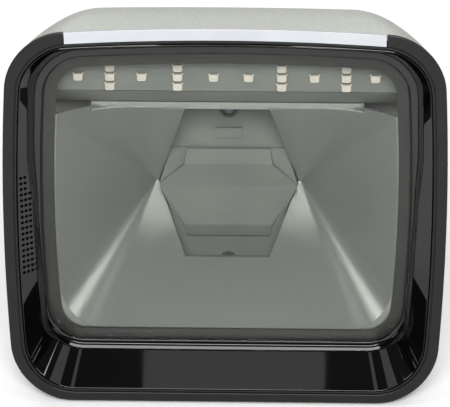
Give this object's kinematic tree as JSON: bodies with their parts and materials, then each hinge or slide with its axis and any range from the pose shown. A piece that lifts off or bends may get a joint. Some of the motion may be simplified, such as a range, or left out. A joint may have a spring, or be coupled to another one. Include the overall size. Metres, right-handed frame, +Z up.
{
  "type": "barcode scanner",
  "caption": "Hands-free counter-top scanner: leaning head with a deep glossy bezel, flat glass window, faceted light reflector and camera behind it, on a low base.",
  "frame": {"origin": "centre of the overall box's bottom face, on the counter under the rubber feet", "axes": "+X to the right seen from the front, +Y from the window towards the back, +Z up; the window faces -Y and leans back 5 degrees"},
  "size_m": [0.1374, 0.0895, 0.1231],
  "materials": {
    "satin_black": "satin moulded black",
    "diffuser": "white translucent diffuser",
    "circuit_board": "green solder mask",
    "gloss_black": "polished black",
    "dust_cloth": "fine black mesh cloth",
    "dark_plastic": "plain black moulding",
    "clear_glass": "clear flat glass",
    "seal_rubber": "soft black seal",
    "mirror_grey": "grey metallic paint, fine sparkle",
    "inner_grey": "dark grey moulding",
    "lens_glass": "dark coated lens",
    "steel": "plain steel",
    "flex_film": "amber flexible circuit film",
    "button_black": "satin black key",
    "silver_paint": "light silver paint with a fine texture",
    "shell_black": "fine textured black moulding",
    "led_body": "cream lamp body",
    "foot_rubber": "black rubber"
  },
  "bodies": {
    "housing": {"front_frame": "satin_black", "light_bar": "diffuser", "light_bar_board": "circuit_board", "bezel": "gloss_black", "speaker_cloth": "dust_cloth", "speaker": "dark_plastic", "window_glass": "clear_glass", "window_gasket": "seal_rubber", "reflector": "mirror_grey", "led_carrier": "inner_grey", "led_board": "circuit_board", "optics_carrier": "inner_grey", "lens_barrel": "dark_plastic", "lens_element": "lens_glass", "aimer_lens": "lens_glass", "carrier_screw": "steel", "sensor_board": "circuit_board", "flex_cable": "flex_film", "main_board": "circuit_board", "processor_shield": "steel", "tact_switch": "dark_plastic", "cable_socket": "dark_plastic", "top_cover": "silver_paint", "rear_housing": "shell_black", "ballast_plate": "steel", "base_plate": "shell_black", "led_1": "led_body", "led_2": "led_body", "led_3": "led_body", "led_4": "led_body", "led_5": "led_body", "led_6": "led_body", "led_7": "led_body", "led_8": "led_body", "led_9": "led_body", "led_10": "led_body", "led_11": "led_body", "led_12": "led_body", "led_13": "led_body", "led_14": "led_body", "led_15": "led_body", "led_16": "led_body", "led_17": "led_body", "led_18": "led_body", "rubber_foot_1": "foot_rubber", "rubber_foot_2": "foot_rubber", "rubber_foot_3": "foot_rubber", "rubber_foot_4": "foot_rubber", "base_screw_1": "steel", "base_screw_2": "steel", "base_screw_3": "steel", "base_screw_4": "steel"},
    "button": {"function_button": "button_black"}
  },
  "joints": [
    {"name": "function_button_press", "type": "slide", "parent": "housing", "child": "button", "axis": [0, -0.9962, 0.0872], "range_m": [0, 0.0008], "stiffness_N_per_m": 1500}
  ]
}
